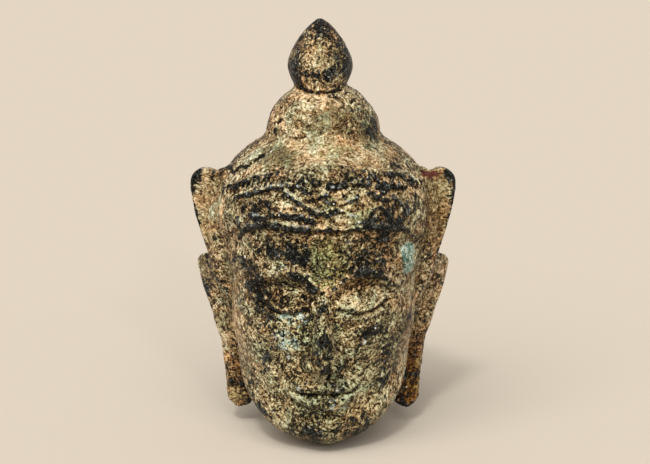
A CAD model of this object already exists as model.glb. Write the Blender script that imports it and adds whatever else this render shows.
from functools import partial
from math import cos, pi, radians, sin

import bmesh
import bpy
import numpy as np
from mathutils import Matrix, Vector


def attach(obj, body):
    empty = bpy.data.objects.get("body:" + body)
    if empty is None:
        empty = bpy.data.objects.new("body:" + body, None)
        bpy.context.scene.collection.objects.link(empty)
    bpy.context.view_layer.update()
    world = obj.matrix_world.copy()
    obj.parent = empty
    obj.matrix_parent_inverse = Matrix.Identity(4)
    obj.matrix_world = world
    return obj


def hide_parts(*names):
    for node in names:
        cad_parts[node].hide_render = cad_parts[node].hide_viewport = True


# Finish of a small cast-bronze Buddha head. The form is built again at a finer grain than the packed
# solid, carved, crusted and then coloured. Metres, +Z up, the face looks along -Y.

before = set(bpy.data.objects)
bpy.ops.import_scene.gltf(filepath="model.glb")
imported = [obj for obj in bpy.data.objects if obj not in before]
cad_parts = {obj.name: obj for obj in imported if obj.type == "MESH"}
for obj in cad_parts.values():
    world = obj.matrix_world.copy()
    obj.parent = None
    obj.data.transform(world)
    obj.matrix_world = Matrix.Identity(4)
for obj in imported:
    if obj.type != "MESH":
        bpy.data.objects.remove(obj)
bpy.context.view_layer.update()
print("frame loaded")


# Stage: pale floor, soft light and the photo's camera

stage = {
    "aim": (0.0007, 0, 0.0737),
    "cameraDistance": 0.75,
    "cameraElevation": radians(11),
    "lens": 115.4,
    "floorSide": 12.0,
    "floorColour": (0.521, 0.457, 0.375, 1),
    "skyColour": (1.0, 0.97, 0.93, 1),
    "skyStrength": 0.45,
    "lightAim": (0, 0, 0.06),
    # name: (strength, angular size, direction the light comes from)
    "suns": {
        "key": (2.9, radians(62), (-0.26, -0.9, 1.05)),
        "fill": (0.35, radians(60), (0.4, -1.0, 0.3)),
        "glint": (1.3, radians(7), (-0.15, -0.85, 0.9)),
        "glint_low": (0.4, radians(5), (0.25, -1.0, 0.5)),
    },
}


def setAll(target, **settings):
    for name, value in settings.items():
        setattr(target, name, value)
    return target


def linked(name, data, **settings):
    obj = setAll(bpy.data.objects.new(name, data), **settings)
    bpy.context.scene.collection.objects.link(obj)
    return obj


def setInputs(owner, shaderName, values):  # of a material's or world's shader; gives the shader's inputs
    owner.use_nodes = True
    inputs = owner.node_tree.nodes[shaderName].inputs
    for name, value in values.items():
        inputs[name].default_value = value
    return inputs


def pointAt(obj, place, target):
    obj.location = place
    obj.rotation_euler = (Vector(target) - Vector(place)).to_track_quat("-Z", "Y").to_euler()


def addSun(name, strength, size, place):
    light = setAll(bpy.data.lights.new(name, "SUN"), energy=strength, angle=size)
    pointAt(linked(name, light), place, stage["lightAim"])


def buildStage():
    scene = bpy.context.scene
    scene.view_settings.view_transform = "Standard"
    camera = bpy.data.cameras.new("photo_camera")
    setAll(camera, lens=stage["lens"], sensor_width=36, clip_start=0.05)
    scene.camera = linked("photo_camera", camera)
    elevation = stage["cameraElevation"]
    back = Vector((0, -cos(elevation), sin(elevation))) * stage["cameraDistance"]
    pointAt(scene.camera, Vector(stage["aim"]) + back, stage["aim"])

    scene.world = bpy.data.worlds.new("studio")
    setInputs(scene.world, "Background", {"Color": stage["skyColour"], "Strength": stage["skyStrength"]})
    for name, (strength, size, place) in stage["suns"].items():
        addSun(name, strength, size, place)

    bpy.ops.mesh.primitive_plane_add(size=stage["floorSide"])
    floor = setAll(bpy.context.object, name="floor")
    paper = bpy.data.materials.new("backdrop_paper")
    matt = {"Base Color": stage["floorColour"], "Roughness": 0.95, "Specular IOR Level": 0.0}
    setInputs(paper, "Principled BSDF", matt)
    floor.data.materials.append(paper)


buildStage()
print("stage set")


# Form of the head. The face is laid out in equal thirds: chin to nose, nose to brow, brow to hairline.

face = {"third": 0.031, "halfWidth": 0.033, "forward": 0.0375, "chinZ": 0.0015}
face["noseZ"] = face["chinZ"] + face["third"]
face["browZ"] = face["noseZ"] + face["third"]

skull = {
    "halfWidth": 0.0392, "halfDepth": 0.041, "halfHeight": 0.0288, "backset": 0.003,
    "napeBackset": 0.008, "napeHalfHeight": 0.036, "foreheadHalfHeight": 0.026,
    "jawRadius": 0.0098, "chinRadii": (0.015, 0.013, 0.0128),
    "z": face["browZ"] + 0.64 * face["third"],
}

grain = {
    "softVoxel": 0.0012, "softPasses": 14, "fineVoxel": 0.0005, "finePasses": 9, "lastPasses": 2,
    "overlap": 0.004, "triangles": 196000,
    # where the plainer back begins, how far the change takes, and its share of the thinning
    "backY": 0.005, "backFade": 0.02, "backShare": 0.000004,
}


def ellipsoid(centre, radii):
    bpy.ops.mesh.primitive_uv_sphere_add(segments=64, ring_count=40, radius=1, location=centre, scale=radii)
    return bpy.context.object


def addModifier(obj, kind, **settings):
    setAll(obj.modifiers.new(kind.title(), kind), **settings)


def turned(profile, offset=0.0):  # (radius, height) points, top to bottom, about the skull's axis
    mesh = bpy.data.meshes.new("profile")
    points = [(radius, 0, height) for radius, height in profile]
    mesh.from_pydata(points, [(i, i + 1) for i in range(len(points) - 1)], [])
    obj = linked("turned", mesh, location=(offset, skull["backset"], 0))
    addModifier(obj, "SCREW", steps=96, render_steps=96, use_merge_vertices=True, merge_threshold=0.00005)
    return obj


def meshObject(name, bm):  # the bmesh as an object of its own, its normals outward
    bmesh.ops.recalc_face_normals(bm, faces=bm.faces)
    mesh = bpy.data.meshes.new(name)
    bm.to_mesh(mesh)
    bm.free()
    return linked(name, mesh)


def fused(name, pieces, voxel, passes, subdivisions=0):  # one closed skin: voxel remesh, then smoothing
    graph = bpy.context.evaluated_depsgraph_get()
    bm = bmesh.new()
    for piece in pieces:
        mesh = bpy.data.meshes.new_from_object(piece.evaluated_get(graph))
        mesh.transform(piece.matrix_world)
        bm.from_mesh(mesh)
        bpy.data.meshes.remove(mesh)
        bpy.data.objects.remove(piece)
    bmesh.ops.remove_doubles(bm, verts=bm.verts, dist=0.00001)
    body = meshObject(name, bm)
    addModifier(body, "REMESH", mode="VOXEL", voxel_size=voxel)
    addModifier(body, "SMOOTH", factor=0.5, iterations=passes)
    if subdivisions:
        addModifier(body, "SUBSURF", levels=subdivisions, render_levels=subdivisions)
    return applied(body)


def applied(body):
    graph = bpy.context.evaluated_depsgraph_get()
    body.data = bpy.data.meshes.new_from_object(body.evaluated_get(graph))
    body.modifiers.clear()
    return body


def headMasses():
    third, side, forward, chin = face["third"], face["halfWidth"], face["forward"], face["chinZ"]
    width, depth, backset = skull["halfWidth"], skull["halfDepth"], skull["backset"]
    return [
        ellipsoid((0, backset, skull["z"]), (width, depth, skull["halfHeight"])),
        ellipsoid((0, skull["napeBackset"], face["browZ"] + 0.06 * third),
                  (0.93 * width, 0.86 * depth, skull["napeHalfHeight"])),
        ellipsoid((0, -backset, face["noseZ"] + 0.6 * third), (side, forward - backset, 1.5 * third)),
        ellipsoid((0, -0.06 * forward, face["browZ"] + 0.22 * third),
                  (0.91 * width, 0.96 * forward, skull["foreheadHalfHeight"])),
        ellipsoid((0, -0.2 * forward, chin + 0.92 * third), (0.86 * side, 0.74 * forward, 0.84 * third)),
        ellipsoid((0, -0.6 * forward, chin + 0.42 * third), skull["chinRadii"]),
        jaw(),
        neckPiece(),
    ]


def addSpline(curve, kind, places):
    spline = curve.splines.new(kind)
    spline.points.add(len(places) - 1)
    for point, place in zip(spline.points, places):
        point.co = (*place, 1)
    return spline


def lofted(name, rings):  # a closed skin through rings of as many places each
    bm = bmesh.new()
    rings = [[bm.verts.new(place) for place in ring] for ring in rings]
    for upper, lower in zip(rings, rings[1:]):
        for i in range(len(upper)):
            j = (i + 1) % len(upper)
            bm.faces.new((upper[i], upper[j], lower[j], lower[i]))
    bm.faces.new(rings[0])
    bm.faces.new(rings[-1])
    return meshObject(name, bm)


def jaw():  # a thick bent tube from ear to ear through the chin
    curve = setAll(bpy.data.curves.new("jaw", "CURVE"), dimensions="3D", bevel_depth=skull["jawRadius"],
                   bevel_resolution=6, use_fill_caps=True)
    side, forward, third = face["halfWidth"], face["forward"], face["third"]
    half = [(0.66 * side, 0.0, 1.02), (0.6 * side, -0.35, 0.62), (0.3 * side, -0.62, 0.38)]
    route = [(-x, y, z) for x, y, z in half] + [(0, -0.68, 0.37)] + half[::-1]
    spline = addSpline(curve, "NURBS", [(x, y * forward, face["chinZ"] + z * third) for x, y, z in route])
    setAll(spline, use_endpoint_u=True, order_u=4)
    return linked("jaw", curve)


neck = {"halfWidth": 0.0165, "halfDepth": 0.02, "backset": 0.007, "spread": 1.25, "rise": 0.012}


def neckPiece():
    low, high = -grain["overlap"], face["noseZ"] + neck["rise"]
    bpy.ops.mesh.primitive_cone_add(vertices=64, radius1=1.0, radius2=neck["spread"], depth=high - low,
                                    location=(0, neck["backset"], (low + high) / 2),
                                    scale=(neck["halfWidth"], neck["halfDepth"], 1))
    return bpy.context.object


# Crown knob with the lotus bud on it

knob = {"radius": 0.0206, "height": 0.0205}
knob["seat"] = skull["z"] + skull["halfHeight"] * (1 - (knob["radius"] / skull["halfWidth"]) ** 2) ** 0.5
bud = {"radius": 0.0116, "height": 0.0237, "waistRadius": 0.0092, "offset": -0.001, "sink": 0.0015}


def knobPiece():
    radius, seat, low = knob["radius"], knob["seat"], knob["seat"] - grain["overlap"]
    arc = [(radius * sin(a), seat + knob["height"] * cos(a)) for a in np.linspace(0, pi / 2, 18)]
    return turned(arc + [(radius, low), (0, low)])


def budPiece():  # a pointed egg that swells low down and pinches to its waist
    waist = knob["seat"] + knob["height"] - bud["sink"]
    swell = 0.3 * bud["height"]
    points = []
    for t in np.linspace(0, 1, 26) ** 1.6:
        rise = swell + (bud["height"] - swell) * (1 - t)
        points.append((bud["radius"] * (1 - (1 - t) ** 1.5) ** 0.76, waist + rise))
    for t in np.linspace(0, 1, 10)[1:]:
        radius = bud["radius"] + (bud["waistRadius"] - bud["radius"]) * t * t
        points.append((radius, waist + swell * (1 - t)))
    points += [(bud["waistRadius"], waist - grain["overlap"]), (0, waist - grain["overlap"])]
    return turned(points, bud["offset"])


# Crown flanges, the upright wings beside the diadem

flange = {
    "reach": 0.0085, "tipRadius": 0.0052, "length": 0.042, "thickness": 0.006, "footGap": 0.001,
    "tipRise": 0.305, "bow": 1.55, "rimTop": 0.105,
    "sweep": radians(8), "y": -0.006, "webRadii": (0.0058, 0.0062, 0.0225), "rim": 0.002,
}


def flangePlaces():  # x of the foot, x of the outer edge, z of the tip's middle
    tipZ = skull["z"] + flange["tipRise"] * skull["halfHeight"]
    return face["halfWidth"] + flange["footGap"], skull["halfWidth"] + flange["reach"], tipZ


def flangePiece(side):
    footX, edgeX, tipZ = flangePlaces()
    rootX = 0.66 * skull["halfWidth"]
    tip = flange["tipRadius"]
    tipX = edgeX - tip
    outline = [(rootX, tipZ + 0.003), (tipX - 1.1 * tip, tipZ + 0.0034)]
    for angle in np.linspace(radians(105), 0, 12):
        outline.append((tipX + tip * cos(angle), tipZ + tip * sin(angle)))
    for t in np.linspace(0, 1, 16)[1:]:
        outline.append((footX + (edgeX - footX) * (1 - t ** flange["bow"]), tipZ - t * flange["length"]))
    outline.append((rootX, tipZ - flange["length"]))
    curve = setAll(bpy.data.curves.new("flange", "CURVE"), dimensions="2D", fill_mode="BOTH",
                   extrude=flange["thickness"] / 2)
    addSpline(curve, "POLY", [(side * x, z, 0) for x, z in outline]).use_cyclic_u = True
    return linked("flange", curve, rotation_euler=(radians(90), 0, side * flange["sweep"]),
                  location=(0, flange["y"], 0))


def flangeRim(points):  # 1 on the outer edge, falling to 0 within the rim's width
    side, z = np.abs(points[:, 0]), points[:, 2]
    footX, edgeX, tipZ = flangePlaces()
    t = np.clip((tipZ - z) / flange["length"], 0, 1)
    edge = footX + (edgeX - footX) * (1 - t ** flange["bow"])
    onEdge = stepUp(side, edge - flange["rim"], edge - 0.3 * flange["rim"])
    return onEdge * (1 - stepUp(t, 0.45, 0.75)) * (z < flange["rimTop"])


def flangeWeb(side):  # the swelling where a flange grows out of the temple
    x = 0.92 * skull["halfWidth"]
    y = flange["y"] + x * sin(flange["sweep"]) - 0.0005
    return ellipsoid((side * x, y, skull["z"] - 0.26 * skull["halfHeight"]), flange["webRadii"])


# Ears, long and flared

ear = {
    "length": 0.0574, "topRise": 0.0316, "width": 0.019, "lobeWidth": 0.0095, "thickness": 0.0052,
    "flare": radians(32), "lobeFlare": radians(58), "frontY": 0.001, "rimRelief": 0.0009,
    # share of the length, rear edge over the face's half width, share of the way from lobe to full ear
    "stations": [
        (0.0, 1.35, 0.8), (0.07, 1.38, 1.0), (0.22, 1.325, 0.98), (0.38, 1.225, 0.76),
        (0.56, 1.125, 0.32), (0.76, 1.07, 0.04), (0.92, 1.06, 0.0), (1.0, 1.03, 0.0),
    ],
}


def earSections():
    top = face["noseZ"] + ear["topRise"]
    shares, edges, fullness = (np.array(column) for column in zip(*ear["stations"]))
    for t in 0.5 - 0.5 * np.cos(np.linspace(0, pi, 61)):
        full = np.interp(t, shares, fullness)
        width = ear["lobeWidth"] + (ear["width"] - ear["lobeWidth"]) * full
        flare = ear["lobeFlare"] + (ear["flare"] - ear["lobeFlare"]) * full
        end = min(t / 0.07, (1 - t) / 0.07, 1.0)
        rounding = max((1 - (1 - end) ** 2) ** 0.5, 0.15)
        edge = face["halfWidth"] * np.interp(t, shares, edges) - 0.5 * width * sin(flare) * (1 - rounding)
        yield top - t * ear["length"], edge, width * rounding, ear["thickness"] * rounding ** 0.6, flare


def earMiddle(edge, width, thickness, flare):
    reach = np.hypot(0.5 * width * np.sin(flare), 0.5 * thickness * np.cos(flare))
    return edge - reach, ear["frontY"] + 0.5 * ear["width"] * cos(ear["flare"])


def earPiece(side):  # a loft of flat ovals from the round top down to the lobe
    rings = []
    for z, edge, width, thickness, flare in earSections():
        middleX, middleY = earMiddle(edge, width, thickness, flare)
        ring = []
        for angle in np.linspace(0, 2 * pi, 32, endpoint=False):
            along, across = 0.5 * width * cos(angle), 0.5 * thickness * sin(angle)
            x = middleX + along * sin(flare) + across * cos(flare)
            ring.append((side * x, middleY + along * cos(flare) - across * sin(flare), z))
        rings.append(ring)
    return lofted("ear", rings)


# Nose

nose = {
    "projection": 0.0082, "halfWidth": 0.0074, "depth": 0.01, "wingRadii": (0.0036, 0.0056, 0.0037),
    # share of the half width, share of the projection, height in face thirds above the nose's base
    "rows": [(0.3, 0.02, 1.04), (0.34, 0.3, 0.74), (0.42, 0.72, 0.4), (0.58, 1.22, 0.15),
             (0.58, 1.02, -0.06)],
}


def nosePieces():
    front, projection = -face["forward"], nose["projection"]
    rings = []
    for share, forward, third in nose["rows"]:
        x, z = share * nose["halfWidth"], face["noseZ"] + third * face["third"]
        near, far = front - forward * projection, front + nose["depth"]
        rings.append([(-x, near, z), (x, near, z), (1.5 * x, far, z), (-1.5 * x, far, z)])
    bridge = lofted("nose", rings)
    addModifier(bridge, "SUBSURF", levels=4, render_levels=4)
    x, y, z = 0.56 * nose["halfWidth"], front - 0.16 * projection, face["noseZ"] + 0.09 * face["third"]
    return [bridge] + [ellipsoid((side * x, y, z), nose["wingRadii"]) for side in (-1, 1)]


# Diadem: a band with a ribbed upper border, a net of worn petals and pellets, and a lower border

diadem = {
    "relief": 0.0014, "rimWidth": 0.0026, "rimRelief": 0.0008, "frontRise": 0.0087, "droop": 0.0055,
    "end": radians(66), "restart": radians(88), "edgeTurn": radians(1.6), "edgeRounding": 0.0008,
    "strokeWidth": 1.3, "strokeHeight": 1.6, "crestShift": 0.0005,
    # round this place the ridges are less worn to dark metal
    "calmTurn": radians(6), "calmReach": radians(26), "calmShare": 0.65,
    # degrees round from the front, millimetres above the lower edge
    "upperEdge": [(-90, 19.0), (-66, 17.8), (-44, 17.4), (-34, 18.5), (-25, 19.4), (-16, 20.5), (-8, 21.4),
                  (4, 21.6), (13, 20.9), (22, 20.3), (32, 19.8), (43, 19.3), (55, 20.0), (66, 20.4),
                  (90, 19.0)],
    "ribFoot": [(-66, 15.2), (-45, 14.4), (-35, 15.0), (-26, 16.1), (-18, 17.0), (-10, 15.8), (12, 15.8),
                (22, 16.8), (31, 18.0), (39, 17.2), (50, 17.3), (66, 18.4)],
}


def turnOf(points):  # angle round the band from the front
    return np.arctan2(points[:, 0], skull["backset"] - points[:, 1])


def aboveEdge(turn, table):  # metres above the lower edge
    degrees, heights = zip(*table)
    return np.interp(np.degrees(turn), degrees, heights) / 1000


def bandEdges(turn):  # lower and upper edge at an angle round from the front
    rise = diadem["frontRise"] * (0.5 + 0.5 * np.cos(turn))
    droop = diadem["droop"] * stepUp(np.abs(turn), radians(40), radians(75))
    lower = face["browZ"] + 0.3 * face["third"] + rise - droop
    return lower, lower + aboveEdge(turn, diadem["upperEdge"])


def pathDistance(points, path):
    best = np.full(len(points), np.inf)
    for start, end in zip(path, path[1:]):
        start, step = np.array(start), np.subtract(end, start)
        t = np.clip((points - start) @ step / (step @ step), 0, 1)
        best = np.minimum(best, np.linalg.norm(points - start - t[:, None] * step, axis=1))
    return best


def bump(distance, width):  # 1 on the line, falling smoothly to 0 at the width
    return np.clip(1 - (distance / width) ** 2, 0, None) ** 2


def stepUp(value, start, end):
    t = np.clip((value - start) / (end - start), 0, 1)
    return t * t * (3 - 2 * t)


# The face's carving on canonical places, in half widths from the middle and thirds above the chin

faceMarks = {
    # rise in mm, centre, half sizes: socket, eyeball, mouth, hollow under the lip, chin, cheek
    "ovals": [(-2.6, 0.42, 1.76, 0.34, 0.32), (3.4, 0.42, 1.72, 0.29, 0.22), (2.0, 0.0, 0.7, 0.46, 0.36),
              (-1.0, 0.0, 0.43, 0.25, 0.12), (1.4, 0.0, 0.24, 0.26, 0.22), (1.2, 0.58, 1.16, 0.36, 0.45)],
    # rise in mm, half width in mm, route
    "lines": [
        (-1.1, 1.2, [(0.16, 1.66), (0.28, 1.615), (0.42, 1.6), (0.56, 1.64), (0.68, 1.71)]),  # lid line
        (0.5, 1.1, [(0.16, 1.715), (0.28, 1.67), (0.42, 1.655), (0.56, 1.695), (0.68, 1.765)]),
        (0.4, 1.2, [(0.16, 1.6), (0.28, 1.555), (0.42, 1.54), (0.56, 1.58), (0.68, 1.65)]),
        (-0.4, 1.1, [(0.15, 1.8), (0.26, 1.9), (0.42, 1.94), (0.58, 1.9), (0.72, 1.8)]),
        (1.7, 2.8, [(0.09, 1.9), (0.2, 2.03), (0.42, 2.11), (0.6, 2.04), (0.76, 1.88)]),  # brow
        (-0.5, 1.5, [(0.0, 0.86), (0.0, 0.98)]),  # groove under the nose
        (-0.5, 1.1, [(0.16, 1.2), (0.235, 1.12), (0.235, 1.02)]),  # round the wings
    ],
    "lips": [
        (1.5, 2.9, [(0.0, 0.785), (0.09, 0.805), (0.22, 0.78), (0.36, 0.775)]),
        (2.0, 3.4, [(0.0, 0.575), (0.14, 0.585), (0.3, 0.68)]),
        (-1.4, 1.2, [(0.0, 0.69), (0.14, 0.68), (0.27, 0.705), (0.36, 0.745)]),
    ],
    "nostril": {"x": 0.003, "forward": 0.003, "drop": 0.0006, "depth": 0.0014, "radius": 0.0019},
    # share of the tone, half width in mm, route
    "creases": [
        (1.0, 1.7, [(0.16, 1.66), (0.28, 1.615), (0.42, 1.6), (0.56, 1.64), (0.7, 1.72)]),
        (0.9, 1.6, [(0.0, 0.69), (0.14, 0.68), (0.27, 0.705), (0.37, 0.75)]),
        (0.6, 2.0, [(0.13, 1.8), (0.26, 1.92), (0.42, 1.96), (0.58, 1.92), (0.73, 1.81)]),
        (0.6, 1.6, [(0.15, 1.22), (0.245, 1.13), (0.245, 1.02), (0.14, 0.97)]),
        (0.5, 2.2, [(0.0, 0.47), (0.16, 0.49)]),
    ],
    "brows": [(1.0, 2.4, [(0.1, 1.92), (0.22, 2.05), (0.42, 2.12), (0.6, 2.06), (0.78, 1.88)])],
}


def faceGrid(points):
    size = np.array([face["halfWidth"], face["third"]])
    return np.stack([np.abs(points[:, 0]), points[:, 2] - face["chinZ"]], axis=1) / size, size


def faceLines(points, kind):  # every line of a kind, at its share or rise
    grid, size = faceGrid(points)
    for share, halfWidth, route in faceMarks[kind]:
        yield share * bump(pathDistance(grid * size, np.array(route) * size), halfWidth / 1000)


def faceTone(points, kind):  # how far each place is a dark crease or a worn brow
    return np.max(list(faceLines(points, kind)), axis=0) * (points[:, 1] < 0)


def faceRelief(points, normals):
    grid, _ = faceGrid(points)
    x, z = grid.T
    rise = sum(faceLines(points, "lines")) + sum(faceLines(points, "lips")) * (1 - stepUp(x, 0.2, 0.42))
    for height, u, w, halfWidth, halfHeight in faceMarks["ovals"]:
        rise += height * bump(np.hypot((x - u) / halfWidth, (z - w) / halfHeight), 1)
    rise *= stepUp(-normals[:, 1], 0.05, 0.45) / 1000
    nostril = faceMarks["nostril"]
    away = np.stack([np.abs(points[:, 0]) - nostril["x"],
                     points[:, 1] + face["forward"] + nostril["forward"],
                     points[:, 2] - face["noseZ"] + nostril["drop"]], axis=1)
    rise -= nostril["depth"] * bump(np.linalg.norm(away, axis=1), nostril["radius"])
    return rise * (points[:, 1] < 0)


# Carved strokes of the diadem: (degrees round from the front, millimetres above the lower edge)
diademLines = [
    # half width in mm, height in mm, route
    (1.0, 0.85, [(-18, 11.8), (-12, 9.5), (-8, 8.0), (-4, 6.4), (3, 5.4)]),  # the long slanting arm
    (0.9, 0.6, [(-50, 11.3), (-40, 11.6), (-33, 12.8), (-27, 14.1), (-22, 13.7), (-18, 12.1)]),
    (0.9, 0.75, [(-23, 14.4), (-15, 14.7), (-11, 14.1)]),
    (0.8, 0.5, [(-11, 12.8), (-7, 12.5)]),
    (0.8, 0.6, [(-8, 10.1), (-3, 11.1), (2, 11.7)]),
    (0.8, 0.65, [(0, 11.4), (3, 9.2), (6, 9.3)]),
    (1.5, 0.8, [(-20, 5.3), (-16, 5.0), (-11, 4.8), (-8, 4.4), (-5, 3.4)]),
    (1.1, 0.6, [(-38, 4.5), (-33, 3.9), (-28, 3.6)]),
    (0.6, 0.35, [(-19, 7.6), (-15, 7.7), (-11, 7.0)]),
    (0.8, 0.6, [(8, 8.6), (12, 9.4), (15, 10.0), (17, 10.3)]),
    (0.7, 0.5, [(16, 8.8), (20, 9.0)]),
    (0.7, 0.5, [(2, 6.9), (6, 6.4), (10, 6.8), (13, 7.7)]),
    (0.9, 0.7, [(7, 3.3), (10, 3.4), (15, 2.7), (20, 3.4), (26, 3.9)]),
    (0.9, 0.55, [(12, 4.9), (17, 4.2)]),
    (0.7, 0.5, [(23, 4.9), (25, 6.6), (28, 7.7), (31, 6.8), (32, 5.4)]),  # petal, right
    (0.8, 0.6, [(27, 10.4), (29, 11.6), (32, 12.7), (36, 13.3)]),
    (0.7, 0.4, [(28, 10.0), (33, 10.3)]),
    (0.6, 0.4, [(38, 11.0), (42, 8.8), (44, 6.4), (46, 4.6)]),
    (1.0, 0.7, [(3, 14.1), (7, 13.9), (12, 14.7)]),  # ledge, right
    (0.9, 0.7, [(16, 15.3), (21, 15.1), (25, 15.2)]),
    (1.0, 0.6, [(29, 14.3), (37, 14.3), (45, 14.1)]),
    (0.8, 0.45, [(29, 17.2), (33, 14.7)]),
    (1.2, 0.6, [(-48, -1.6), (-40, 0.0), (-34, 1.1), (-29, 1.6)]),  # lower bars
    (1.4, 0.65, [(-25, 2.0), (-21, 1.9)]),
    (1.5, 0.65, [(-18, 1.0), (-13, 0.4), (-7, 0.2)]),
    (1.1, 0.55, [(-3, 0.9), (3, 0.4), (8, 0.6), (15, 0.7), (20, 1.6), (22, 2.4)]),
    (1.0, 0.45, [(23, 0.9), (29, 1.0), (36, 0.2), (45, -0.6), (52, -1.4), (60, -1.6)]),
]
diademPellets = [
    # degrees, mm above the lower edge, half width, half height and relief in mm
    (-28, 9.0, 2.5, 2.1, 0.85), (-35, 7.5, 1.6, 2.1, 0.8), (-43, 6.8, 2.1, 2.3, 0.8),
    (-49, 9.8, 1.6, 2.2, 0.65), (-25, 4.9, 2.3, 1.7, 0.8), (-39, 1.8, 2.2, 1.6, 0.6),
    (-47, 3.9, 1.4, 1.4, 0.6), (-46, 1.0, 1.3, 1.2, 0.5), (-8, 3.9, 1.6, 1.5, 0.6), (8, 4.6, 1.5, 1.3, 0.8),
    (35, 3.4, 2.1, 1.9, 0.7), (24, 12.0, 1.5, 1.4, 0.45), (38, 8.2, 1.6, 1.8, 0.5),
    (52, 8.6, 1.9, 2.4, 0.5), (52, 3.8, 1.7, 1.7, 0.5), (-57, 6.8, 1.7, 2.2, 0.55),
    (-57, 11.6, 1.6, 1.5, 0.45), (-56, 1.9, 1.5, 1.6, 0.45), (60, 6.0, 1.6, 2.0, 0.4),
    (46, 12.2, 1.7, 1.3, 0.4),
]


def strokes(unrolled):  # height of the strokes and pellets over the unrolled band
    radius = skull["halfDepth"]
    carving = np.zeros(len(unrolled))
    for halfWidth, height, route in diademLines:
        path = [(radians(degrees) * radius, mm / 1000) for degrees, mm in route]
        stroke = bump(pathDistance(unrolled, path), diadem["strokeWidth"] * halfWidth / 1000)
        carving = np.maximum(carving, diadem["strokeHeight"] * height / 1000 * stroke)
    for degrees, mm, halfWidth, halfHeight, height in diademPellets:
        beside = (unrolled[:, 0] - radians(degrees) * radius) / halfWidth
        away = np.hypot(beside, (unrolled[:, 1] - mm / 1000) / halfHeight) * 1000
        carving = np.maximum(carving, height / 1000 * bump(away, 1))
    return carving


def bandRelief(points):  # the skin's rise, then how far it is dark ridge, pale crest and ribbed border
    turn = turnOf(points)
    lower, upper = bandEdges(turn)
    foot = lower + aboveEdge(turn, diadem["ribFoot"])
    z = points[:, 2]
    soft, rim = diadem["edgeRounding"], diadem["rimWidth"]
    body = stepUp(z, lower - soft, lower + soft) * (1 - stepUp(z, upper - soft, upper + soft))
    wear = 0.6 + 0.25 * np.sin(9.0 * turn + 0.7) + 0.15 * np.sin(23.0 * turn + 2.0)
    rims = 0.5 * wear * bump(z - lower - rim / 2, rim) + 0.7 * wear * bump(z - upper + rim / 2, rim)
    front = 1 - stepUp(np.abs(turn), diadem["end"] - diadem["edgeTurn"], diadem["end"] + diadem["edgeTurn"])
    restart = diadem["restart"]
    behind = 0.6 * stepUp(np.abs(turn), restart - diadem["edgeTurn"], restart + diadem["edgeTurn"])
    rise = (diadem["relief"] * body + diadem["rimRelief"] * rims) * (front + behind)

    unrolled = np.stack([turn * skull["halfDepth"], z - lower], axis=1)
    shift = np.array([0, diadem["crestShift"]])
    carving, under, over = (strokes(unrolled + share * shift) for share in (0, 0.8, -1.2))
    kept = 1 - diadem["calmShare"] * bump(turn - diadem["calmTurn"], diadem["calmReach"])
    border = stepUp(z, foot - soft, foot) * (1 - stepUp(z, upper - soft / 2, upper + soft / 2))
    ridge = np.clip((np.maximum(carving, under) - 0.0001) / 0.0009 + 0.4 * rims, 0, 1)
    ridge = (ridge * kept - 0.1 * body) * front
    crest = np.clip((over - under - 0.0003) / 0.0004, 0, 1) * front
    return rise + (carving - 0.0007 * body) * front, ridge, crest, border * front * kept


def earRelief(points, normals):  # rolled rim, hollow and inner fold on the side that faces out and forward
    side = np.sign(points[:, 0])
    z = points[:, 2]
    rows = np.array(list(earSections()))[::-1]
    edge, width, thickness, flare = (np.interp(z, rows[:, 0], rows[:, i]) for i in (1, 2, 3, 4))
    middleX, middleY = earMiddle(edge, width, thickness, flare)
    out, back = side * points[:, 0] - middleX, points[:, 1] - middleY
    along = out * np.sin(flare) + back * np.cos(flare)
    across = out * np.cos(flare) - back * np.sin(flare)
    facing = side * normals[:, 0] * np.cos(flare) - normals[:, 1] * np.sin(flare)
    inside = (np.abs(along) < 0.5 * width + 0.001) & (np.abs(across) < 0.5 * thickness + 0.0012)
    inside &= (z > rows[0, 0]) & (z < rows[-1, 0])
    share = along / ear["width"]
    rim = bump(along - 0.5 * width + 0.0018, 0.003)
    rise = (z - face["noseZ"]) / face["third"]
    hollow = bump(np.hypot((share + 0.02) / 0.33, (rise - 0.52) / 0.5), 1)
    fold = bump(np.hypot((share - 0.1) / 0.09, (rise - 0.55) / 0.38), 1)
    return ear["rimRelief"] * (rim - 2.4 * hollow + 0.7 * fold) * inside * stepUp(facing, 0.1, 0.6)


# Damage: cracks and pits at their places on the front, (x, z) in millimetres

damage = {
    # name: (half width, depth, route), the depth going into the skin
    "cap crack": (0.7, 1.0, [(-34.5, 97.9), (-32.8, 97.4), (-31.4, 96.9), (-30.6, 98.0), (-29.2, 99.3),
                             (-26.5, 99.9), (-25.2, 101.2), (-22.6, 102.9), (-20.8, 104.0)]),
    "knob foot line": (0.6, 0.5, [(-11.1, 109.9), (-8.1, 110.1), (-6.0, 110.6)]),
    "left knob pit": (0.6, 0.8, [(-15.6, 114.4), (-14.6, 115.6)]),
    "right knob pit": (0.7, 0.6, [(9.9, 121.7), (10.5, 122.1)]),
    "bud foot line": (0.9, 0.7, [(-8.4, 126.0), (-5.0, 125.3), (0, 125.0), (6.0, 125.6)]),
}


def damageRelief(points):  # the depth of the cut, and its share of the full depth
    seen = points[:, [0, 2]]
    cut, share = np.zeros(len(points)), np.zeros(len(points))
    for halfWidth, depth, route in damage.values():
        away = pathDistance(seen, [(x / 1000, z / 1000) for x, z in route])
        cut = np.maximum(cut, depth / 1000 * bump(away, halfWidth / 1000))
        share = np.maximum(share, min(1, 0.9 * depth) * bump(away, 1.25 * halfWidth / 1000))
    front = points[:, 1] < 0
    return cut * front, share * front


def vertexArray(mesh, field):
    values = np.empty(len(mesh.vertices) * 3)
    mesh.vertices.foreach_get(field, values)
    return values.reshape(-1, 3)


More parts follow.
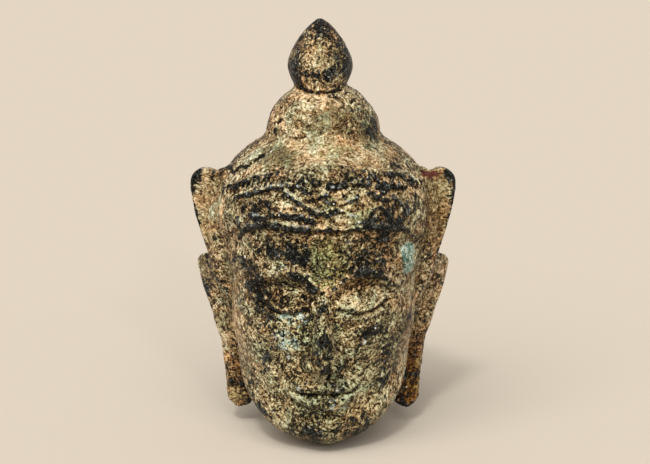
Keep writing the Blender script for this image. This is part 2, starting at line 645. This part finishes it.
def carve(body):  # moves the skin along its normals by the carved relief
    mesh = body.data
    points, normals = vertexArray(mesh, "co"), vertexArray(mesh, "normal")
    rise = faceRelief(points, normals) + bandRelief(points)[0] + earRelief(points, normals)
    rise -= damageRelief(points)[0]
    points += normals * rise[:, None]
    mesh.vertices.foreach_set("co", points.ravel())
    mesh.update()


# Nodes

def newTree(name, inputs):  # a geometry tree, what it is given and where it ends
    tree = bpy.data.node_groups.new(name, "GeometryNodeTree")
    for label, kind in [("Geometry", "Geometry"), *inputs, ("Material", "Material")]:
        tree.interface.new_socket(name=label, in_out="INPUT", socket_type="NodeSocket" + kind)
    tree.interface.new_socket(name="Geometry", in_out="OUTPUT", socket_type="NodeSocketGeometry")
    return tree, tree.nodes.new("NodeGroupInput").outputs, tree.nodes.new("NodeGroupOutput").inputs[0]


def endTree(tree, given, end, geometry):  # what every geometry tree ends in
    real = node(tree, "GeometryNodeRealizeInstances", {0: geometry})
    coloured = node(tree, "GeometryNodeSetMaterial", {"Geometry": real, "Material": given["Material"]})
    tree.links.new(coloured, end)
    return tree


def node(tree, kind, links=None, output=0, **settings):  # makes a node and gives the named output
    made = setAll(tree.nodes.new(kind), **settings)
    for socket, value in (links or {}).items():
        if isinstance(value, bpy.types.NodeSocket):
            tree.links.new(value, made.inputs[socket])
        else:
            made.inputs[socket].default_value = value
    return made.outputs[output]


def mathOf(tree):  # a shorthand for the tree's math nodes
    def math(operation, *values, clamp=False):
        return node(tree, "ShaderNodeMath", dict(enumerate(values)), operation=operation, use_clamp=clamp)

    return math


def modified(obj, tree, values):  # the tree as a modifier, its inputs set by identifier
    modifier = obj.modifiers.new(tree.name, "NODES")
    modifier.node_group = tree
    for item in tree.interface.items_tree:
        if item.name in values:
            modifier[item.identifier] = values[item.name]


ornament = {
    # ribs of the upper border and crumbs along the worn ridges, in metres
    "ribs": {"Spacing": 0.0023, "Width": 0.0013, "Length": 0.004, "Height": 0.0024, "Jitter": 0.3,
             "Turn": 0.35, "Seed": 11},
    "crumbs": {"Spacing": 0.0017, "Width": 0.0013, "Length": 0.0011, "Height": 0.001, "Jitter": 0.4,
               "Turn": 1.5, "Seed": 5},
    # rows of crumbs: (degrees round from the front, millimetres above the lower edge)
    "crumbRows": [
        [(-56, 12.9), (-30, 14.9)], [(-26, 15.6), (-8, 15.8)], [(6, 15.6), (30, 15.8)],
        [(34, 15.3), (60, 14.6)], [(-33, 2.3), (-14, 2.2)], [(4, 1.6), (30, 1.8)], [(36, 1.4), (58, 0.4)],
    ],
}


def ornamentTree():  # beads of varied size seated on the surface along each guide
    inputs = [(label, "Float") for label in ("Spacing", "Width", "Length", "Height", "Jitter", "Turn")]
    tree, given, end = newTree("ornament_row", [("Surface", "Object"), *inputs, ("Seed", "Int")])
    add, math = partial(node, tree), mathOf(tree)
    spacing = {"Curve": given["Geometry"], "Length": given["Spacing"]}
    rows = add("GeometryNodeResampleCurve", spacing, mode="LENGTH")
    seat = {"Object": given["Surface"]}
    surface = add("GeometryNodeObjectInfo", seat, "Geometry", transform_space="ORIGINAL")
    nearest = add("GeometryNodeProximity", {0: surface}, "Position", target_element="FACES")
    seated = add("GeometryNodeSetPosition", {"Geometry": rows, "Position": nearest})
    sampled = {"Mesh": surface, "Value": add("GeometryNodeInputNormal"),
               "Sample Position": add("GeometryNodeInputPosition")}
    outward = add("GeometryNodeSampleNearestSurface", sampled, data_type="FLOAT_VECTOR")
    upright = add("FunctionNodeAlignRotationToVector", {"Vector": outward}, axis="Z")
    along = {"Rotation": upright, "Vector": add("GeometryNodeInputTangent")}
    aligned = add("FunctionNodeAlignRotationToVector", along, axis="X", pivot_axis="Z")
    twists = {2: math("SUBTRACT", 0.0, given["Turn"]), 3: given["Turn"], "Seed": given["Seed"]}
    twist = add("FunctionNodeRandomValue", twists, 1, data_type="FLOAT")
    twisted = {"Rotation": aligned, "Rotate By": add("ShaderNodeCombineXYZ", {"Z": twist})}
    rotation = add("FunctionNodeRotateRotation", twisted, rotation_space="LOCAL")
    spread = {0: math("SUBTRACT", 1.0, given["Jitter"]), 1: math("ADD", 1.0, given["Jitter"]),
              "Seed": given["Seed"]}
    vary = add("FunctionNodeRandomValue", spread, data_type="FLOAT_VECTOR")
    size = add("ShaderNodeCombineXYZ", {"X": given["Width"], "Y": given["Length"], "Z": given["Height"]})
    scale = add("ShaderNodeVectorMath", {0: size, 1: vary}, operation="MULTIPLY")
    bead = add("GeometryNodeMeshIcoSphere", {"Radius": 0.5, "Subdivisions": 3}, "Mesh")
    copies = {"Points": seated, "Instance": bead, "Rotation": rotation, "Scale": scale}
    return endTree(tree, given, end, add("GeometryNodeInstanceOnPoints", copies))


def bandPoint(degrees, height):  # a point on the diadem, a little outside the skull
    turn = radians(degrees)
    lower, _ = bandEdges(turn)
    radius = skull["halfDepth"]
    return (radius * sin(turn), skull["backset"] - radius * cos(turn), float(lower) + height)


def ribRoute():  # along the middle of the ribbed border
    for degrees in range(-62, 63, 4):
        edges = [aboveEdge(radians(degrees), diadem[name]) for name in ("ribFoot", "upperEdge")]
        yield bandPoint(degrees, float(sum(edges)) / 2)


def ribMask(points):  # 1 on the ribs, 0 between them
    path = np.array(list(ribRoute()))
    steps = np.concatenate([[0], np.cumsum(np.linalg.norm(np.diff(path, axis=0), axis=1))])
    count = int(steps[-1] / ornament["ribs"]["Spacing"])
    place = np.interp(turnOf(points), turnOf(path), steps) / steps[-1] * count
    return np.clip(0.5 + 0.9 * np.cos(2 * pi * place), 0, 1)


def ornamentPieces(surface, material):  # meshes of the ribs and crumbs, seated on the carved band
    tree = ornamentTree()
    crumbs = [[bandPoint(degrees, mm / 1000) for degrees, mm in row] for row in ornament["crumbRows"]]
    for name, rows in {"ribs": [list(ribRoute())], "crumbs": crumbs}.items():
        curve = setAll(bpy.data.curves.new(name, "CURVE"), dimensions="3D")
        for row in rows:
            addSpline(curve, "POLY", row)
        guide = linked(name, curve)
        modified(guide, tree, dict(ornament[name], Surface=surface, Material=material))
        graph = bpy.context.evaluated_depsgraph_get()
        yield linked(name + "_mesh", bpy.data.meshes.new_from_object(guide.evaluated_get(graph)))
        bpy.data.objects.remove(guide)


# Cast skin: swellings, crust grains and gas pits over the whole casting, but not under the base

castSkin = {
    "Swell Size": 0.01, "Swell Height": 0.00045, "Lump Size": 0.0036, "Lump Height": 0.0006,
    "Crinkle Size": 0.0024, "Crinkle Height": 0.00018,
    "Pit Size": 0.0026, "Pit Depth": 0.0005, "Pit Share": 0.4, "Flat Below": 0.0012,
    "Calm Above": 0.1255, "Calm Beyond": 0.04, "Calm Share": 0.35, "Seed": 3.7,
}


def castSkinTree():
    tree, given, end = newTree("cast_skin", [(label, "Float") for label in castSkin])
    add, math = partial(node, tree), mathOf(tree)
    place = add("GeometryNodeInputPosition")

    def noise(size, detail, shift, distortion=0.0):  # about zero, half to either side
        inputs = {"Vector": place, "W": math("ADD", given["Seed"], shift), "Detail": detail,
                  "Scale": math("DIVIDE", 1.0, given[size]), "Distortion": distortion}
        return math("SUBTRACT", add("ShaderNodeTexNoise", inputs, noise_dimensions="4D"), 0.5)

    def kept(geometry, name, value):
        inputs = {"Geometry": geometry, "Name": name, "Value": value}
        return add("GeometryNodeStoreNamedAttribute", inputs, data_type="FLOAT", domain="POINT")

    swell = math("MULTIPLY", noise("Swell Size", 1.0, 0.0), given["Swell Height"])
    lump = math("MULTIPLY", noise("Lump Size", 2.0, 5.0, 0.8), given["Lump Height"])
    fold = math("MULTIPLY_ADD", math("ABSOLUTE", noise("Crinkle Size", 2.0, 9.0, 1.6)), -8.0, 1.0)
    fold = math("MAXIMUM", fold, -0.4)  # thin raised folds with flats between
    crinkle = math("MULTIPLY", fold, given["Crinkle Height"])
    cells = {"Vector": place, "Scale": math("DIVIDE", 1.0, given["Pit Size"])}
    away = add("ShaderNodeTexVoronoi", cells, "Distance")
    chance = add("FunctionNodeSeparateColor", {0: away.node.outputs["Color"]})
    hole = math("SMOOTH_MIN", math("MULTIPLY_ADD", away, -3.6, 1.0, clamp=True), 0.8, 0.2)
    hole = math("MULTIPLY", hole, math("LESS_THAN", chance, given["Pit Share"]))
    pit = math("MULTIPLY", hole, given["Pit Depth"])
    axes = add("ShaderNodeSeparateXYZ", {0: place}).node.outputs

    def past(value, edge):  # 0 up to the edge, 1 from 2 mm beyond it
        return math("MULTIPLY", math("SUBTRACT", value, given[edge]), 500.0, clamp=True)

    calm = math("MAXIMUM", past(axes["Z"], "Calm Above"), past(math("ABSOLUTE", axes["X"]), "Calm Beyond"))
    calmed = math("MULTIPLY_ADD", calm, math("SUBTRACT", given["Calm Share"], 1.0), 1.0)
    free = math("MULTIPLY", math("DIVIDE", axes["Z"], given["Flat Below"], clamp=True), calmed)
    rise = math("SUBTRACT", math("MULTIPLY_ADD", math("ADD", swell, lump), 2.0, crinkle), pit)
    lift = {0: add("GeometryNodeInputNormal"), "Scale": math("MULTIPLY", rise, free)}
    offset = add("ShaderNodeVectorMath", lift, operation="SCALE")
    marked = kept(kept(given["Geometry"], "pit", hole), "fold", fold)
    return endTree(tree, given, end, add("GeometryNodeSetPosition", {"Geometry": marked, "Offset": offset}))


# Patina masks, kept on the mesh as attributes that the material reads

patina = {
    # name: (x, y, z, three radii, all in millimetres, strength)
    "olive": [(2, -38, 70, 9, 12, 11, 1.0), (-14, -34, 70, 5, 8, 4, 0.5), (-5, -37, 46, 9, 10, 9, 0.5),
        (4, -17, 106, 14, 14, 4, 0.4), (8, -38, 88, 16, 12, 7, 0.5)],
    "moss": [(0, -34, 30, 34, 26, 42, 1.0), (0, -38, 88, 30, 16, 12, 0.5)],
    "verdigris": [(29.9, -22, 70.2, 4.2, 8, 5.6, 0.75), (31.0, -22, 65.4, 3.6, 8, 4.8, 0.85)],
    "mint": [(-9, -34, 50, 9, 8, 4, 0.75), (-13, -34, 42, 8, 8, 6, 0.65), (-12, -34, 69, 5, 8, 4, 0.6),
        (-8, -36, 25, 5, 8, 4, 0.5), (3, -36, 19, 7, 8, 4, 0.6), (12, -36, 44, 6, 8, 5, 0.5)],
    "greenGrey": [(3, -14, 116, 16, 14, 7, 0.85), (16, -8, 112, 7, 12, 8, 1.0),
        (-16, -18, 104, 10, 14, 5, 1.0), (-37, 10, 39, 5, 9, 6, 0.9), (12, -20, 38, 9, 20, 12, 0.3)],
    "rust": [(-32, 7, 12, 8, 12, 28, 0.7), (31, 6, 12, 8, 12, 30, 1.0), (38, -4, 96, 5, 8, 4, 0.6),
        (41, -4, 84, 8, 12, 22, 0.45), (34, 6, 32, 7, 12, 12, 0.5), (-2, -40, 36, 5, 8, 6, 0.5)],
    "umber": [(39, -4, 84, 10, 14, 26, 0.3), (24, -26, 82, 16, 20, 18, 0.8),
        (22, -26, 50, 16, 20, 26, 0.35), (31, 6, 20, 9, 16, 18, 0.9), (0, -38, 74, 30, 20, 14, 0.4),
        (0, -36, 6, 28, 20, 9, 0.3), (-25, -28, 84, 14, 20, 12, 0.5), (-32, 7, 14, 8, 12, 14, 0.2),
        (0, -36, 12, 30, 24, 16, 0.2), (20, -14, 101, 12, 20, 8, 0.3)],
    "sooty": [(-11, -3, 133, 5, 12, 9, 1.0), (0, -8, 131.5, 13, 12, 2.6, 0.7), (0, 0, 149, 6, 8, 3.5, 0.8),
        (10.5, -4, 134, 4, 10, 9, 0.9), (-46, -2, 95, 3.5, 9, 8, 0.9), (46, -2, 96, 3.5, 9, 8, 0.9),
        (17, -8, 112, 5, 10, 6, 0.6), (-13, -34, 73, 12, 9, 4.5, 0.55), (14, -34, 70, 10, 9, 5, 0.55),
        (-32, 7, 3, 8, 12, 5, 0.5), (31, 6, 4, 8, 12, 7, 0.7), (31, 6, 14, 8, 12, 12, 0.25),
        (25, -14, 101, 4, 8, 3, 0.6), (-19, -33, 53, 6, 10, 8, 0.35), (0, -44, 34, 5, 10, 6, 0.4),
        (0, -38, 6, 26, 18, 9, 0.2), (24, -28, 88, 14, 16, 12, 0.75), (24, -28, 72, 12, 16, 8, 0.2),
        (-24, -28, 60, 8, 10, 8, 0.5), (22, -30, 45, 14, 14, 20, 0.05), (-26, -28, 86, 12, 14, 8, 0.3)],
    "earthy": [(0, -12, 139, 6, 7, 9, 1.0), (-3, -14, 117, 20, 22, 11, 0.6), (4, -18, 106, 34, 26, 8, 1.0),
        (-41, -4, 84, 7, 12, 20, 0.9), (41, -4, 84, 7, 12, 20, 0.8), (-30, -10, 40, 6, 14, 32, 0.4),
        (5, -38, 87, 14, 12, 8, 0.5)],
    "oxide": [(38.6, -6, 95.6, 4.2, 6, 1.5, 1.0)],
    "streaky": [(-31.5, -8, 48, 4.5, 14, 34, 1.0), (31.5, -8, 48, 4.5, 14, 34, 1.0)],
    "rear": [(0, 45, 75, 60, 45, 90, 1.0)],
    "speckled": [(-32, 7, 14, 7, 12, 13, 1.0), (31, 6, 15, 7, 12, 14, 1.0), (0, -38, 88, 22, 12, 12, 0.6)],
    "pale": [(3, -10, 124.5, 9, 8, 3, 0.8), (0, -12, 139, 7, 8, 8, 0.4), (41, -4, 84, 8, 12, 22, 0.8),
        (-20, -30, 20, 12, 14, 13, 1.3), (0, -34, 72, 26, 14, 8, 0.4), (4, -18, 106, 30, 22, 6, 0.9),
        (-31, -7, 95, 5, 9, 5, 0.7), (-7, -14, 116, 11, 12, 10, 0.9), (-22, -18, 103, 14, 16, 5, 0.7),
        (-11, -34, 43, 8, 9, 9, 0.6), (-31, -8, 45, 5, 10, 30, 0.6), (31, -8, 45, 5, 10, 30, 1.0),
        (-41, -4, 84, 7, 12, 20, 0.3)],
}
glints = {  # whitish specks of mineral crust, (x, z) and radius in millimetres
    "places": [(-8.4, 25.2), (5.2, 24.8), (3.0, 18.3), (14.5, 41.3), (-16.5, 42.6), (-7.4, 51), (-12, 36)],
    "radius": 0.9,
}
heights = {  # rounds of smoothing under each height and slope, and how far a crack's pale lip lies above it
    "near": 12, "far": 60, "slope": 16, "lip": 0.0011,
}


def neighbourMean(mesh):  # returns a function that averages a field over each vertex and its neighbours
    edges = np.empty(len(mesh.edges) * 2, np.int32)
    mesh.edges.foreach_get("vertices", edges)
    a, b = edges[0::2], edges[1::2]
    count = len(mesh.vertices)
    degree = np.bincount(a, minlength=count) + np.bincount(b, minlength=count) + 1

    def mean(field):
        total = field + np.bincount(a, field[b], count) + np.bincount(b, field[a], count)
        return total / degree

    return mean


def smoothed(field, mean, passes):
    for _ in range(passes):
        field = mean(field)
    return field


def storeMasks(body):
    mesh = body.data
    points, normals = vertexArray(mesh, "co"), vertexArray(mesh, "normal")
    mean = neighbourMean(mesh)
    near = np.stack([smoothed(points[:, i], mean, heights["near"]) for i in range(3)], axis=1)
    far = np.stack([smoothed(near[:, i], mean, heights["far"]) for i in range(3)], axis=1)
    fine = ((points - near) * normals).sum(axis=1) * 1000
    slope = smoothed(normals[:, 2], mean, 1)
    _, ridge, crest, border = bandRelief(points)
    ribbed = ribMask(points) - 0.5 + np.clip(fine / 0.2, -0.4, 0.3)
    ribbed *= 0.35 + 0.4 * stepUp(np.abs(points[:, 0]), 0.012, 0.02)
    masks = {
        "upward": slope - smoothed(slope, mean, heights["slope"]), "fineHeight": fine,
        "broadHeight": ((near - far) * normals).sum(axis=1) * 1000,
        "ridge": ridge + border * (0.55 + ribbed), "crest": crest, "rim": flangeRim(points),
        "crease": faceTone(points, "creases"), "brow": faceTone(points, "brows"),
        "scar": damageRelief(points)[1],
        "lip": damageRelief(points + (0, 0, heights["lip"]))[1],
        "speck": np.zeros(len(points)),
    }
    for name, spots in patina.items():
        masks[name] = np.zeros(len(points))
        for *centreAndRadii, strength in spots:
            away = np.linalg.norm((points * 1000 - centreAndRadii[:3]) / centreAndRadii[3:], axis=1)
            masks[name] = np.maximum(masks[name], strength * (1 - stepUp(away, 0.35, 1.25)))
    radius = glints["radius"]
    for place in glints["places"]:
        away = np.linalg.norm(points[:, [0, 2]] * 1000 - place, axis=1)
        spot = (1 - stepUp(away, 0.3 * radius, radius)) * (points[:, 1] < -0.02)
        masks["speck"] = np.maximum(masks["speck"], spot)
    for name, values in masks.items():
        attribute = mesh.attributes.new(name, "FLOAT", "POINT")
        attribute.data.foreach_set("value", np.ascontiguousarray(values, np.float32))


# Patinated bronze: dark metal, ochre earth crust, and the patina spots

tone = {
    # place on the way from pit to crumb, colour
    "crust": [(0.16, (0.007, 0.005, 0.003, 1)), (0.34, (0.08, 0.048, 0.02, 1)),
              (0.5, (0.275, 0.18, 0.08, 1)), (0.7, (0.505, 0.385, 0.225, 1)),
              (0.94, (0.88, 0.77, 0.565, 1))],
    "metal": [(0.46, (0.002, 0.0015, 0.001, 1)), (0.56, (0.011, 0.01, 0.006, 1)),
              (0.65, (0.062, 0.064, 0.056, 1)), (0.76, (0.27, 0.285, 0.265, 1))],
    # tints that multiply the crust
    "hue": [(0.36, (1.12, 0.92, 0.74, 1)), (0.62, (0.86, 1.0, 0.96, 1))],
    "olive": (0.6, 0.72, 0.55, 1), "greenGrey": (0.47, 0.51, 0.45, 1), "rust": (0.68, 0.44, 0.19, 1),
    "umber": (0.66, 0.58, 0.45, 1), "moss": (0.78, 0.87, 0.82, 1), "ash": (0.48, 0.52, 0.5, 1),
    # mineral greens
    "verdigris": (0.045, 0.17, 0.125, 1), "mint": (0.56, 0.68, 0.56, 1),
    "mintDeep": (0.17, 0.23, 0.16, 1), "speck": (0.82, 0.83, 0.74, 1), "oxide": (0.12, 0.035, 0.022, 1),
}
layering = {
    # noises over the surface: scale, detail, roughness, seed, distortion
    "noises": {
        "patches": (62, 2, 0.5, 33, 0.8), "cloud": (90, 3, 0.6, 1, 0), "mottle": (230, 3, 0.6, 2, 0.6),
        "curl": (560, 2, 0.55, 4, 1.6), "grit": (720, 3, 0.7, 3, 1.0), "flake": (480, 4, 0.66, 7, 1.4),
        "warmth": (105, 3, 0.55, 9, 0.8), "regions": (34, 3, 0.5, 21, 0), "wear": (135, 3, 0.6, 15, 0.6),
    },
    # curling threads of light and dark: scale, seed, thinness
    "threads": {"strand": (290, 11, -9), "crack": (330, 17, -13)},
    # how far the slope and the broad height count
    "limits": {"upward": (-0.35, 0.35), "broadHeight": (-0.4, 0.25)},
    # weights of noises, threads and masks: the crust's light and dark before and after its contrast is set
    "crustStart": -1.96, "crustMiddle": 0.53,
    "crust": {"grit": 1.1, "curl": 1.3, "mottle": 0.9, "cloud": 0.7, "patches": 0.9, "strand": 0.33,
              "crack": -0.42},
    "contrast": {"moss": 0.22, "earthy": -0.48, "streaky": -0.5},
    "form": {"fineHeight": 0.7, "upward": 0.65, "fold": 0.06, "lip": 0.16, "scar": -0.9, "crease": -0.22},
    # where the crust is worn to the metal
    "wornStart": -4.3,
    "worn": {"broadHeight": 0.35, "fineHeight": 1.3, "ridge": 0.88, "cloud": 2.2, "wear": 2.0,
             "mottle": 2.2, "flake": 3.4, "sooty": 0.85, "rim": 0.46, "brow": 0.15, "earthy": -0.5,
             "upward": -0.4, "patches": -1.2},
    "uneven": {"mottle": 2.4, "flake": 2.4},
    "bump": {"curl": 1.0, "mottle": 1.3, "strand": 0.16, "crack": -0.16},
    # from no patch to full patch
    "edges": {"olive": (0.35, 0.75), "greenGrey": (0.35, 0.75), "mint": (0.6, 0.82),
              "verdigris": (0.36, 0.56), "oxide": (0.35, 0.7)},
}


def bronzeMaterial():
    material = bpy.data.materials.new("patinated_bronze_skin")
    shader = setInputs(material, "Principled BSDF", {"Specular IOR Level": 0.22})
    tree = material.node_tree
    add, math = partial(node, tree), mathOf(tree)
    place = add("ShaderNodeTexCoord", output="Object")

    def noise(scale, detail, roughness, seed, distortion):
        inputs = {"Vector": place, "W": seed, "Scale": scale, "Detail": detail, "Roughness": roughness,
                  "Distortion": distortion}
        return add("ShaderNodeTexNoise", inputs, noise_dimensions="4D")

    def thread(scale, seed, thinness):  # 1 along its middle, 0 beside it
        away = math("ABSOLUTE", math("SUBTRACT", noise(scale, 2, 0.5, seed, 1.8), 0.5))
        return math("MULTIPLY_ADD", away, thinness, 1.0, clamp=True)

    layers = {name: noise(*settings) for name, settings in layering["noises"].items()}
    layers.update((name, thread(*settings)) for name, settings in layering["threads"].items())

    def layer(name):  # a noise, a thread or a mask
        if name not in layers:
            layers[name] = add("ShaderNodeAttribute", output="Fac", attribute_name=name)
        return layers[name]

    for name, (low, high) in layering["limits"].items():
        layers[name] = math("MAXIMUM", math("MINIMUM", layer(name), high), low)

    def total(start, kind):  # the start with the layers of a kind added by their weights
        for name, weight in layering[kind].items():
            start = math("MULTIPLY_ADD", layer(name), weight, start)
        return start

    def ramp(value, low, high):  # 0 at low, 1 at high
        inputs = {"Value": value, "From Min": low, "From Max": high}
        return add("ShaderNodeMapRange", inputs, interpolation_type="SMOOTHSTEP")

    def colours(value, stops):
        made = add("ShaderNodeValToRGB", {0: value})
        elements = made.node.color_ramp.elements
        for _ in stops[2:]:
            elements.new(0.5)
        for element, (position, colour) in zip(elements, stops):
            element.position = position
            element.color = colour
        return made

    def mix(share, lower, upper, blend="MIX"):
        return add("ShaderNodeMix", {0: share, 6: lower, 7: upper}, 2, data_type="RGBA", blend_type=blend)

    def tinted(base, name, share):  # a tint that keeps the crust's light and dark
        return mix(share, base, mix(1.0, base, tone[name], "MULTIPLY"))

    def ragged(name):  # a patch with an uneven edge
        near = math("MULTIPLY", layer(name), 4.0, clamp=True)
        share = math("MULTIPLY_ADD", total(-2.4, "uneven"), near, layer(name))
        return ramp(share, *layering["edges"][name])

    # earth crust, paler on its crumbs and nearly black in its cracks
    middle = layering["crustMiddle"]
    shade = math("SUBTRACT", total(layering["crustStart"], "crust"), middle)
    shade = math("MULTIPLY_ADD", shade, total(1.0, "contrast"), middle)
    upright = add("ShaderNodeVectorMath", {0: place, 1: (1, 1, 0.22)}, operation="MULTIPLY")
    streak = add("ShaderNodeTexNoise", {"Vector": upright, "Scale": 640.0, "Detail": 2.0})
    streak = math("MULTIPLY_ADD", streak, 1.3, -0.65)
    shade = math("MULTIPLY_ADD", streak, layer("streaky"), total(shade, "form"))
    crust = colours(math("MULTIPLY_ADD", layer("pale"), 0.15, shade), tone["crust"])
    crust = mix(1.0, crust, colours(layer("warmth"), tone["hue"]), "MULTIPLY")
    for name in ("moss", "umber", "rust"):
        crust = tinted(crust, name, layer(name))
    for name, low, high in (("umber", 0.46, 0.62), ("greenGrey", 0.44, 0.32)):  # broad tints over the back
        crust = tinted(crust, name, math("MULTIPLY", layer("rear"), ramp(layer("regions"), low, high)))
    for name in ("olive", "greenGrey"):
        crust = tinted(crust, name, ragged(name))

    # dark metal where handling wore the crust off the high points, and in patches
    metal = colours(math("MULTIPLY_ADD", layer("strand"), 0.1, layer("grit")), tone["metal"])
    worn = total(layering["wornStart"], "worn")
    crust = tinted(crust, "umber", math("MULTIPLY", ramp(worn, -0.15, 0.45), 0.8))
    bare = math("MAXIMUM", ramp(worn, 0.3, 0.6), math("MULTIPLY", layer("pit"), 0.6))
    crust = mix(ragged("mint"), crust, mix(ramp(shade, 0.34, 0.74), tone["mintDeep"], tone["mint"]))
    colour = mix(bare, crust, metal)
    colour = mix(math("MULTIPLY", layer("crest"), ramp(layer("flake"), 0.54, 0.62)), colour, tone["ash"])
    green = mix(ramp(math("MULTIPLY_ADD", streak, 0.5, shade), 0.2, 0.8), tone["verdigris"], tone["mint"])
    colour = mix(ragged("verdigris"), colour, green)
    colour = mix(ragged("oxide"), colour, tone["oxide"])
    colour = mix(math("MULTIPLY", layer("speck"), ramp(layer("grit"), 0.35, 0.5)), colour, tone["speck"])

    # scattered pale specks, thickest on the lobes
    away = add("ShaderNodeTexVoronoi", {"Vector": place, "Scale": 330.0}, "Distance")
    chance = add("ShaderNodeSeparateColor", {0: away.node.outputs["Color"]})
    chosen = math("LESS_THAN", chance, math("MULTIPLY_ADD", layer("speckled"), 0.2, 0.05))
    dot = math("MULTIPLY", ramp(away, 0.17, 0.09), chosen)
    colour = mix(math("MULTIPLY", dot, 0.75), colour, tone["speck"])

    gloss = {"Value": layer("curl"), "From Min": 0.35, "From Max": 0.65, "To Min": 0.18, "To Max": 0.36}
    relief = {"Strength": 1.0, "Distance": 0.002, "Height": total(0.0, "bump")}
    tree.links.new(colour, shader["Base Color"])
    tree.links.new(add("ShaderNodeMapRange", gloss), shader["Roughness"])
    tree.links.new(math("MULTIPLY", bare, 0.45), shader["Metallic"])
    tree.links.new(add("ShaderNodeBump", relief), shader["Normal"])
    return material


def triangles(body):
    return sum(len(face.vertices) - 2 for face in body.data.polygons)


def headPiece():
    bronze = bronzeMaterial()
    soft = fused("soft", headMasses() + [knobPiece()] + [flangeWeb(side) for side in (-1, 1)],
                 grain["softVoxel"], grain["softPasses"], 1)
    crisp = [soft, budPiece()] + nosePieces()
    for side in (-1, 1):
        crisp += [flangePiece(side), earPiece(side)]
    body = fused("crisp", crisp, grain["fineVoxel"], grain["finePasses"])
    print("head formed:", triangles(body), "triangles")
    carve(body)
    dressed = [body, *ornamentPieces(body, bronze)]
    body = fused("buddha_head_skin", dressed, grain["fineVoxel"], grain["lastPasses"])
    print("head carved:", triangles(body), "triangles")
    modified(body, castSkinTree(), dict(castSkin, Material=bronze))
    applied(body)
    cutFlat(body)
    storeMasks(body)
    thinned(body)
    body.data.shade_smooth()
    body.data.materials.clear()
    body.data.materials.append(bronze)
    return body


def thinned(body):  # fewer triangles where the skin is plain, mostly at the back
    points = vertexArray(body.data, "co")
    group = body.vertex_groups.new(name="plain")
    start = grain["backY"]
    weights = np.round(0.5 + 0.5 * stepUp(points[:, 1], start, start + grain["backFade"]), 1)
    for weight in np.unique(weights):
        group.add(np.flatnonzero(weights == weight).tolist(), float(weight), "REPLACE")
    count = triangles(body)
    addModifier(body, "DECIMATE", vertex_group="plain", vertex_group_factor=grain["backShare"],
                ratio=min(1.0, grain["triangles"] / count))
    applied(body)
    body.vertex_groups.clear()
    print("thinned:", count, "to", triangles(body), "triangles")


def cutFlat(body):  # the flat underside
    bm = bmesh.new()
    bm.from_mesh(body.data)
    cut = bmesh.ops.bisect_plane(bm, geom=bm.verts[:] + bm.edges[:] + bm.faces[:], plane_co=(0, 0, 0),
                                 plane_no=(0, 0, 1), clear_inner=True)
    rim = [edge for edge in cut["geom_cut"] if isinstance(edge, bmesh.types.BMEdge)]
    bmesh.ops.triangle_fill(bm, use_beauty=True, edges=rim)
    bmesh.ops.recalc_face_normals(bm, faces=bm.faces)
    bm.to_mesh(body.data)
    bm.free()


head = headPiece()
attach(head, "root")
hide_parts("buddha_head")
print("head finished:", triangles(head), "triangles")
